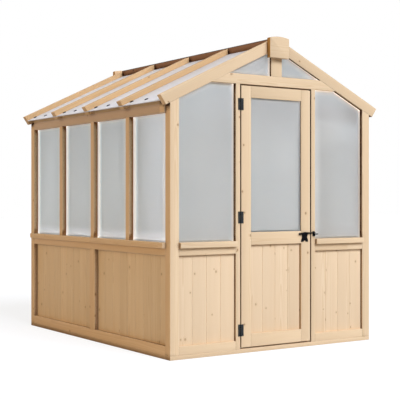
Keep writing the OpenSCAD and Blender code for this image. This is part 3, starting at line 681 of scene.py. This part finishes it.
def dress(node_name, finish, ease, prefix):
    """A welded copy of a node with its grain frames, a finish and eased edges, which rides where
    the node rides. Returns the piece and the number of separate parts in it."""
    mesh = welded(node_name, prefix + node_name)
    count = grain_frames(mesh)
    shade = next((share for word, share in SHADE if word in node_name), OTHER_SHADE)
    mark(mesh, "shade", np.tile([*shade, 0.0], (len(mesh.vertices), 1)))
    piece = finished(prefix + node_name, mesh, finish)
    soften = piece.modifiers.new("eased", "BEVEL")
    soften.width = ease
    soften.segments = 2
    soften.limit_method = "ANGLE"
    soften.angle_limit = EASE_ANGLE
    soften.harden_normals = True
    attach(piece, body_of[node_name])
    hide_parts(node_name)
    return piece, count


print(len(slot_of), "nodes to dress")

# %% Dress the timber
WOOD_EASE = {"frame_timber": 0.0016, "boarding": 0.0006, "roof_timber": 0.0016,
             "ridge_timber": 0.0012}
# Nodes whose tone isn't their slot's, by the end of their names: the top plates and the apex
# blocks take painted shade
OTHER_TONES = {"top_plate": "plate_timber", "apex_block": "block_timber",
               "back_rakes": "roof_timber"}
counts = {}
for node_name, slot_name in slot_of.items():
    if slot_name in WOOD_EASE:
        others = [name for end, name in OTHER_TONES.items() if node_name.endswith(end)]
        finish = woods[(others or [slot_name])[0]]
        counts[node_name] = dress(node_name, finish, WOOD_EASE[slot_name], "timber_")[1]
print(len(counts), "timber nodes dressed,", sum(counts.values()), "separate pieces")

# %% [markdown]
# ## Frosted sheets
# The wall sheets are frosted on both faces: light comes through, but what stands behind is only a
# soft shadow. A Principled shader with much transmission and a high roughness does that. The
# sheets keep their real thickness, so they have real edges. Each sheet may also have painted
# light: a faint glow of its own, mostly near its edges.

# %% Frosted sheet
SHEET_IOR = 1.45
FROST_SCALE, FROST_STRENGTH, FROST_DEPTH = 900.0, 0.25, 0.0001
PATCH_SCALE, PATCH_EDGE, PATCH_DARKEST, PATCH_ROUGHER = 2.2, (0.35, 0.65), 0.965, 0.10
RIGHT_JAMB = (0.28, 0.36)


def sheet(name, colour, through, rough, glow=None, right_shade_tint=None):
    """A frosted sheet: its tint, how much light passes, how soft it is, a function that gives the
    colour of its painted glow, and a darker tint, painted shade, for the sheets right of the door."""
    made, tree, shader = surface(name)
    place = add(tree, "ShaderNodeTexCoord").outputs["Object"]
    where = split(tree, place)
    fine = noise(tree, place, FROST_SCALE, 2.0)
    wide = noise(tree, place, PATCH_SCALE, 3.0)
    base = (*colour, 1)
    # Painted shade: the sheets right of the door take a darker tint
    if right_shade_tint:
        base = blend(tree, ramp(tree, where["X"], *RIGHT_JAMB), base, (*right_shade_tint, 1))
    cloudy = grey(tree, ramp(tree, wide, *PATCH_EDGE, PATCH_DARKEST, 1.0))
    feed(tree, shader, {
        "Base Color": times(tree, base, cloudy),
        "Roughness": calc(tree, "MULTIPLY_ADD", wide, PATCH_ROUGHER, rough),
        "Transmission Weight": through, "IOR": SHEET_IOR})
    # Painted light: the glow is emission, though a sheet is no lamp
    if glow:
        feed(tree, shader, {"Emission Color": glow(tree, where), "Emission Strength": 1.0})
    relief(tree, shader, fine, FROST_STRENGTH, FROST_DEPTH)
    return made


roof_sheet = sheet("roof_sheet", (0.87, 0.86, 0.86), 0.30, 0.45)
print("roof sheet ready")

# %% [markdown]
# ## Painted light on the sheets
# In the photograph the side panes are paler in a band along the rear edge, warm at the edge and
# cool further in, and along the foot. The front panes are paler in a thin line all round, also
# under the slanted rakes, where it lifts their shade. Both are painted light, a glow that the
# sheets give out. The maps margin, inset and slope give the distances, and a table of stops says how
# bright the painted glow is at each share of its reach, in red, green and blue.

# %% Distances inside a sheet
ROOF_PITCH = math.radians(25.5)
FAR = 1e9


def sheet_margins(piece):
    """Adds three maps to a sheet's mesh. margin is (distance from the upright edge that lies left
    or rearmost, height above the foot), inset the distances from the other upright edge and from
    the top, and slope the distance from the slanted top: cos p times (the highest z + |x| tan p,
    less z + |x| tan p), or 1 for a sheet with a level top."""
    points, edges, part = parts_of(piece.data)
    count = part.max() + 1
    low, high = np.full((count, 3), FAR), np.full((count, 3), -FAR)
    np.minimum.at(low, part, points)
    np.maximum.at(high, part, points)
    past_low, past_high = points - low[part], high[part] - points
    if "left" in piece.name or "right" in piece.name:
        aside, other = past_high[:, 1], past_low[:, 1]
    elif "back" in piece.name:
        aside, other = past_high[:, 0], past_low[:, 0]
    else:
        aside, other = past_low[:, 0], past_high[:, 0]
    slope = np.ones(len(points))
    if any(word in piece.name for word in ("front_panes", "back_panes", "gable")):
        slant = points[:, 2] + np.abs(points[:, 0]) * math.tan(ROOF_PITCH)
        top = np.full(count, -FAR)
        np.maximum.at(top, part, slant)
        slope = (top[part] - slant) * math.cos(ROOF_PITCH)
    corner = read(piece.data.loops, "vertex_index", 1, int)
    for label, first, second in (("margin", aside, past_low[:, 2]),
                                 ("inset", other, past_high[:, 2]), ("slope", slope, slope)):
        unfold(piece.data, label, first[corner], second[corner])


def stops(tree, distance, reach, table):
    """A colour that follows a table of (share of the reach, red, green, blue) in straight lines."""
    share_of_reach = calc(tree, "DIVIDE", distance, reach, clamp=True)
    made = add(tree, "ShaderNodeValToRGB", {"Fac": share_of_reach})
    ends = made.color_ramp.elements
    while len(ends) < len(table):
        ends.new(1.0)
    for element, (share, *colour) in zip(ends, table):
        element.position = share
        element.color = (*colour, 1)
    return made.outputs["Color"]


print("maps and stops ready")

# %% Side sheets
# Painted light: reach and colour stops of the glow on the side sheets
REAR_REACH, FOOT_REACH, TOP_REACH, FORE_REACH = 0.08, 0.08, 0.06, 0.12
REAR_BAND = ((0.0, 0.47, 0.42, 0.38), (0.15, 0.33, 0.30, 0.27), (0.30, 0.23, 0.24, 0.24),
             (0.45, 0.15, 0.18, 0.20), (0.62, 0.05, 0.09, 0.11), (0.84, 0, 0.01, 0.02))
FOOT_BAND = ((0.0, 0.15, 0.15, 0.15), (0.3, 0.08, 0.08, 0.09), (1.0, 0, 0, 0))
TOP_BAND = ((0.0, 0.26, 0.20, 0.16), (0.13, 0.22, 0.20, 0.17), (0.25, 0.06, 0.06, 0.05),
            (0.40, 0.01, 0.01, 0.01), (1.0, 0, 0, 0))
FORE_BAND = ((0.0, 0.05, 0.03, 0.01), (0.6, 0.05, 0.03, 0.01), (0.8, 0, 0, 0))
CORNER_PANE, CORNER_WASH = (-0.60, -0.88), (0.040, 0.040, 0.045, 1)


def side_painted_light(tree, where):
    """The side panes' painted light, a glow: a band along the rear edge, the foot, the top, a trace
    near the front edge, and a wash over the pane next to the front corner."""
    margin, inset = distances(tree, "margin"), distances(tree, "inset")
    rear = stops(tree, margin["X"], REAR_REACH, REAR_BAND)
    foot = stops(tree, margin["Y"], FOOT_REACH, FOOT_BAND)
    top = stops(tree, inset["Y"], TOP_REACH, TOP_BAND)
    fore = stops(tree, inset["X"], FORE_REACH, FORE_BAND)
    wash = blend(tree, ramp(tree, where["Y"], *CORNER_PANE), BLACK, CORNER_WASH)
    return plus(tree, plus(tree, rear, foot), plus(tree, plus(tree, top, fore), wash))


# The side sheets are tinted cooler than the front ones: painted light that offsets the warm side
# light
wall_sheet = sheet("wall_sheet", (0.868, 0.883, 0.881), 0.85, 0.40, side_painted_light)
print("side sheets glow within", REAR_REACH * 1000, "mm of the rear edge")

# %% Patches of painted light on the front sheets
# Middle across and up, half width, half height, level, and how square it is: 2 gives an oval that
# fades evenly, and more gives a flatter one with firmer edges
FRONT_LIGHT_PATCHES = (
    (0.34, 1.20, 0.10, 1.0, 0.08, 2), (-0.20, 1.90, 0.28, 0.14, 0.05, 4),
    (0.20, 1.90, 0.28, 0.14, 0.01, 4), (0.42, 1.68, 0.34, 0.34, 0.042, 2),
    (-0.02, 1.58, 0.32, 0.40, 0.012, 4))
FRONT_ONLY = (0.5, -0.5)


def light_patch(tree, where, x, z, wide, tall, level, power):
    """A soft patch of painted light: level times a smooth step down of |(X - x) / wide| to the
    power, plus |(Z - z) / tall| to the power, from 1 in the middle to 0 where the sum is 1."""
    parts = []
    for name, middle, half in (("X", x, wide), ("Z", z, tall)):
        away = calc(tree, "MULTIPLY_ADD", where[name], 1 / half, -middle / half)
        parts.append(calc(tree, "POWER", calc(tree, "ABSOLUTE", away), float(power)))
    return grey(tree, ramp(tree, calc(tree, "ADD", *parts), 1.0, 0.0, 0.0, level))


def front_light_patches(tree, where):
    """The sum of all the patches of painted light, on the front wall's sheets but not on the back
    wall's.
    """
    total = light_patch(tree, where, *FRONT_LIGHT_PATCHES[0])
    for values in FRONT_LIGHT_PATCHES[1:]:
        total = plus(tree, total, light_patch(tree, where, *values))
    return blend(tree, ramp(tree, where["Y"], *FRONT_ONLY), BLACK, total)


print(len(FRONT_LIGHT_PATCHES), "patches")

# %% Front and back sheets
# Painted light: reach and colour stops of the glow on the front sheets
LINE_REACH, RIGHT_REACH, UNDER_REACH = 0.03, 0.045, 0.30
LINE = ((0.0, 0.13, 0.12, 0.09), (0.35, 0.03, 0.03, 0.03), (1.0, 0, 0, 0))
RIGHT_LINE = ((0.0, 0.34, 0.32, 0.28), (0.22, 0.14, 0.14, 0.14), (0.45, 0.03, 0.04, 0.05),
              (1.0, 0, 0, 0))
UNDER_RAKE = ((0.0, 0.46, 0.42, 0.38), (0.022, 0.22, 0.20, 0.18), (0.045, 0.12, 0.12, 0.12),
              (0.09, 0.07, 0.075, 0.08), (0.14, 0.03, 0.04, 0.045), (0.45, 0.02, 0.025, 0.03),
              (1.0, 0, 0, 0))
# Where a share changes, and what it changes from and to
LEFT_TO_RIGHT, GABLE_LEFT_TO_RIGHT = (-0.33, 0.36, 0.62, 1.35), (-0.05, 0.05, 0.35, 0.65)
DOOR_HALF, DOOR_SHARE, COLLAR = (0.25, 0.31), 0.12, (1.80, 1.84)
LEFT_WASH = (0.005, 0.018, 0.025, 1)


def front_painted_light(tree, where):
    """The front panes' painted light, a glow: a line all round, wider on the right, and a wash under
    the slanted top that lifts the rakes' shade: more on the right half than on the left, and less in
    the gable. The pane of the door has little of either. A faint painted wash lies left of the right
    jamb, and the front wall has the patches of painted light as well."""
    margin, inset, slope = (distances(tree, label) for label in ("margin", "inset", "slope"))
    line = stops(tree, calc(tree, "MINIMUM", margin["X"], margin["Y"]), LINE_REACH, LINE)
    right = stops(tree, inset["X"], RIGHT_REACH, RIGHT_LINE)
    top = calc(tree, "MINIMUM", slope["X"], inset["Y"])
    under = stops(tree, top, UNDER_REACH, UNDER_RAKE)
    gable = ramp(tree, where["X"], *GABLE_LEFT_TO_RIGHT)
    share = calc(tree, "MULTIPLY", ramp(tree, where["X"], *LEFT_TO_RIGHT),
                 ramp(tree, where["Z"], *COLLAR, 1.0, gable))
    rims = plus(tree, plus(tree, line, right), times(tree, under, grey(tree, share)))
    door = ramp(tree, calc(tree, "ABSOLUTE", where["X"]), *DOOR_HALF, DOOR_SHARE, 1.0)
    door = ramp(tree, where["Z"], *COLLAR, door, 1.0)
    wash = blend(tree, ramp(tree, where["X"], *RIGHT_JAMB), LEFT_WASH, BLACK)
    wash = plus(tree, wash, front_light_patches(tree, where))
    return plus(tree, times(tree, rims, grey(tree, door)), wash)


# The front sheets are tinted warmer than the side ones: painted light that offsets the cool front
# light
front_sheet = sheet("front_sheet", (0.850, 0.818, 0.769), 0.85, 0.40, front_painted_light,
                    (0.757, 0.742, 0.698))
print("front sheets glow within", RIGHT_REACH * 1000, "mm of the right edge")

# %% Dress the sheets
SHEET_EASE = 0.0008
sheet_count = 0
for node_name, slot_name in slot_of.items():
    if slot_name in ("wall_sheet", "roof_sheet"):
        wall = wall_sheet if node_name in ("left_panes", "right_panes") else front_sheet
        finish = roof_sheet if slot_name == "roof_sheet" else wall
        piece, count = dress(node_name, finish, SHEET_EASE, "sheet_")
        sheet_margins(piece)
        sheet_count += count
print(sheet_count, "sheets dressed")

# %% [markdown]
# ## Black ironmongery and the weather strip
# The hinges are black and powder coated: a fine orange-peel texture, nearly matt, a little lighter
# in patches. The latch and the roof screws are matt black, and the strip on the ridge is rubber.

# %% Black finishes
LIGHTER_TIMES, LIGHTER_PLUS = 1.8, 0.004
CLOUD_SCALE, CLOUD_EDGE, CLOUD_ROUGHER = 60.0, (0.4, 0.75), 0.2
PEEL_STRENGTH = 0.5
BLACK_EASE = 0.0004


def coated(name, colour, rough, peel, size, gloss):
    """A black finish: its colour, its roughness, the depth and size of its texture, its gloss."""
    made, tree, shader = surface(name)
    place = add(tree, "ShaderNodeTexCoord").outputs["Object"]
    bumps = noise(tree, place, size, 2.0)
    cloud = noise(tree, place, CLOUD_SCALE, 3.0)
    lighter = tuple(LIGHTER_TIMES * c + LIGHTER_PLUS for c in colour)
    feed(tree, shader, {
        "Base Color": blend(tree, ramp(tree, cloud, *CLOUD_EDGE), (*colour, 1), (*lighter, 1)),
        "Roughness": calc(tree, "MULTIPLY_ADD", cloud, CLOUD_ROUGHER, rough),
        "Specular IOR Level": gloss})
    relief(tree, shader, bumps, PEEL_STRENGTH, peel)
    return made


black_steel = coated("black_steel", (0.017, 0.018, 0.017), 0.55, 0.00008, 1400.0, 0.2)
weather_strip = coated("weather_strip", (0.016, 0.013, 0.014), 0.65, 0.0001, 700.0, 0.3)
matt_black = coated("matt_black", (0.004, 0.004, 0.005), 0.75, 0.0001, 900.0, 0.08)
for node_name, slot_name in slot_of.items():
    if slot_name in ("black_steel", "weather_strip") and node_name != "roof_screws":
        finish = weather_strip if slot_name == "weather_strip" else black_steel
        finish = matt_black if node_name.startswith("latch") else finish
        dress(node_name, finish, BLACK_EASE, "black_")
print("ironmongery dressed")

# %% [markdown]
# ## Screws
# Each screw head is one surface: rings of points from the rim over the dome and down into a
# four-armed driver slot. The rings are a table of radii and heights, and the slot's ring swings in
# and out with the angle. All the screws of a body are made at once, as one array of points for
# each, turned to its own axis and spun by its own angle.

# %% Screw heads
SPOKES = 24
# Rings from the washer to the top of the dome: share of the head's radius, and of its height
WASHER_HEIGHT = 0.16
DOME_RINGS = ((1.02, 0.24), (1.0, 0.45), (0.9, 0.72), (0.68, 0.93))
SLOT_MIDDLE, SLOT_SWING, SLOT_SHRINK = 0.16, 0.34, 0.8
SLOT_WALL, SLOT_FLOOR = 0.45, 0.4
SHARP_ANGLE = math.radians(50)


def screw_points(radius, dome, washer):
    """The points of a head, ring by ring, then the middle of the slot's floor and of the underside,
    and the number of rings. The slot's edge is the radius times a + b |cos 2t| cubed, so that it
    has four arms."""
    angle = np.arange(SPOKES) * 2 * np.pi / SPOKES
    ones = np.ones(SPOKES)
    arm = radius * (SLOT_MIDDLE + SLOT_SWING * np.abs(np.cos(2 * angle)) ** 3)
    rings = [(washer * ones, 0.0), (washer * ones, WASHER_HEIGHT)]
    rings += [(share * radius * ones, height) for share, height in DOME_RINGS]
    rings += [(arm, 1.0), (arm * SLOT_SHRINK, SLOT_WALL)]
    table = [np.stack([r * np.cos(angle), r * np.sin(angle), h * dome * ones], 1) for r, h in rings]
    return np.vstack([*table, [[0, 0, SLOT_FLOOR * dome], [0, 0, 0]]]), len(rings)


def screw_faces(rings):
    """Faces of a head as lists of point numbers: quads between the rings, and a fan at each end."""
    k = np.arange(SPOKES)
    k1 = (k + 1) % SPOKES
    starts = np.arange(rings - 1)[:, None] * SPOKES
    quads = np.stack([starts + k, starts + k1, starts + SPOKES + k1, starts + SPOKES + k], 2)
    last, middle = (rings - 1) * SPOKES, np.full(SPOKES, rings * SPOKES)
    top = np.stack([last + k, last + k1, middle], 1)
    under = np.stack([k1, k, middle + 1], 1)
    return quads.reshape(-1, 4), top, under


def screws(name, places, axes, radius, dome, washer, body, finish, replaced=()):
    """Screw heads at places, pointing along axes, as one mesh that rides on a body. A head's point
    is its x, y and height times the two sideways vectors, spun about the axis, and the axis."""
    places, axes = np.asarray(places, float), np.asarray(axes, float)
    head, rings = screw_points(radius, dome, washer)
    spin = rng.uniform(0, 2 * np.pi, len(places))[:, None]
    first = -sideways(axes)
    x = np.cos(spin) * first + np.sin(spin) * np.cross(axes, first)
    turn = np.stack([x, np.cross(axes, x), axes], 2)
    points = np.einsum("nij,mj->nmi", turn, head) + places[:, None]
    faces = []
    for i in range(len(places)):
        for kind in screw_faces(rings):
            faces += (kind + i * len(head)).tolist()
    mesh = bpy.data.meshes.new(name)
    mesh.from_pydata(points.reshape(-1, 3).tolist(), [], faces)
    piece = finished(name, mesh, finish)
    mesh.set_sharp_from_angle(angle=SHARP_ANGLE)
    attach(piece, body)
    if replaced:
        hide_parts(*replaced)
    print(name, len(places), "screws,", len(mesh.polygons), "faces")


print(SPOKES, "points to a ring")

# %% [markdown]
# ## Roof screws
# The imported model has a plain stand-in for each roof screw. Its points tell where it is: their
# longest direction is the screw's axis, and the furthest point along it is the top of its head.

# %% Roof screws
ROOF_HEAD = {"radius": 0.0136, "dome": 0.0059, "washer": 0.0139}
ROOF_HEAD_DEPTH = 0.006


def pieces_of(node_name):
    """The points of each separate piece of a node, as a list of arrays."""
    mesh = welded(node_name, "places")
    points, edges, piece = parts_of(mesh)
    bpy.data.meshes.remove(mesh)
    return [points[piece == i] for i in range(piece.max() + 1)]


places, axes = [], []
for own_points in pieces_of("roof_screws"):
    middle = own_points.mean(0)
    direction = np.linalg.svd(own_points - middle)[2][0]
    direction *= np.sign(direction[2])
    reach = (own_points - middle) @ direction
    places.append(middle + direction * (reach.max() - ROOF_HEAD_DEPTH))
    axes.append(direction)
screws("roof_screw_heads", places, axes, **ROOF_HEAD, body="frame", finish=matt_black,
       replaced=("roof_screws",))

# %% [markdown]
# ## Screws of the ironmongery
# The hinges, the latch plate and the keeper are screwed on too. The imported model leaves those
# screws out, because they sit flush, so small countersunk heads are added here. Their places come
# from the boxes of the pieces: three to each hinge leaf, four to the latch plate, and two to the
# keeper.

# %% Small screws
SMALL_HEAD = {"radius": 0.0034, "dome": 0.0007, "washer": 0.0036}
WALL_FRONT, LEAF_FACE, PLATE_FACE = -1.085, -0.0025, -0.003
LEAF_INSET, LEAF_PITCH, LEAF_STAGGER = 0.0085, 0.027, 0.002
PLATE_INSET, PLATE_ROWS = 0.0075, (0.0065, 0.0555)
KEEPER_INSET, KEEPER_RISE = 0.0055, 0.0060
FLAT_REACH = 1e-4


def small_screws(name, body, spots, face):
    """Countersunk heads at (x, z) spots on a plate whose face lies off the wall's front."""
    screws(name, [(x, WALL_FRONT + face, z) for x, z in spots], [(0.0, -1.0, 0.0)] * len(spots),
           **SMALL_HEAD, body=body, finish=black_steel)


def box_of(points):
    """The lowest and the highest corner of some points."""
    return points.min(0), points.max(0)


print("small heads of", SMALL_HEAD["radius"] * 1000, "mm radius")

# %% Screws of the hinges
for node_name, body, side in (("hinge_jamb_leaves", "frame", -1), ("hinge_door_leaves", "door", 1)):
    spots = []
    for own_points in pieces_of(node_name):
        low, high = box_of(own_points)
        x = low[0] + LEAF_INSET if side < 0 else high[0] - LEAF_INSET
        spots += [(x + side * LEAF_STAGGER * (k == 0), (low[2] + high[2]) / 2 + LEAF_PITCH * k)
                  for k in (-1, 0, 1)]
    small_screws(node_name + "_screws", body, spots, LEAF_FACE)

# %% Screws of the latch
low, high = box_of(np.vstack(pieces_of("latch_plate")))
spots = [(x, low[2] + row) for x in (low[0] + PLATE_INSET, high[0] - PLATE_INSET)
         for row in PLATE_ROWS]
small_screws("latch_plate_screws", "door", spots, PLATE_FACE)
keeper = np.vstack(pieces_of("latch_keeper"))
low, high = box_of(keeper[np.abs(keeper[:, 1] - WALL_FRONT) < FLAT_REACH])
spots = [(low[0] + KEEPER_INSET, low[2] + KEEPER_RISE),
         (high[0] - KEEPER_INSET, high[2] - KEEPER_RISE)]
small_screws("latch_keeper_screws", "frame", spots, PLATE_FACE)
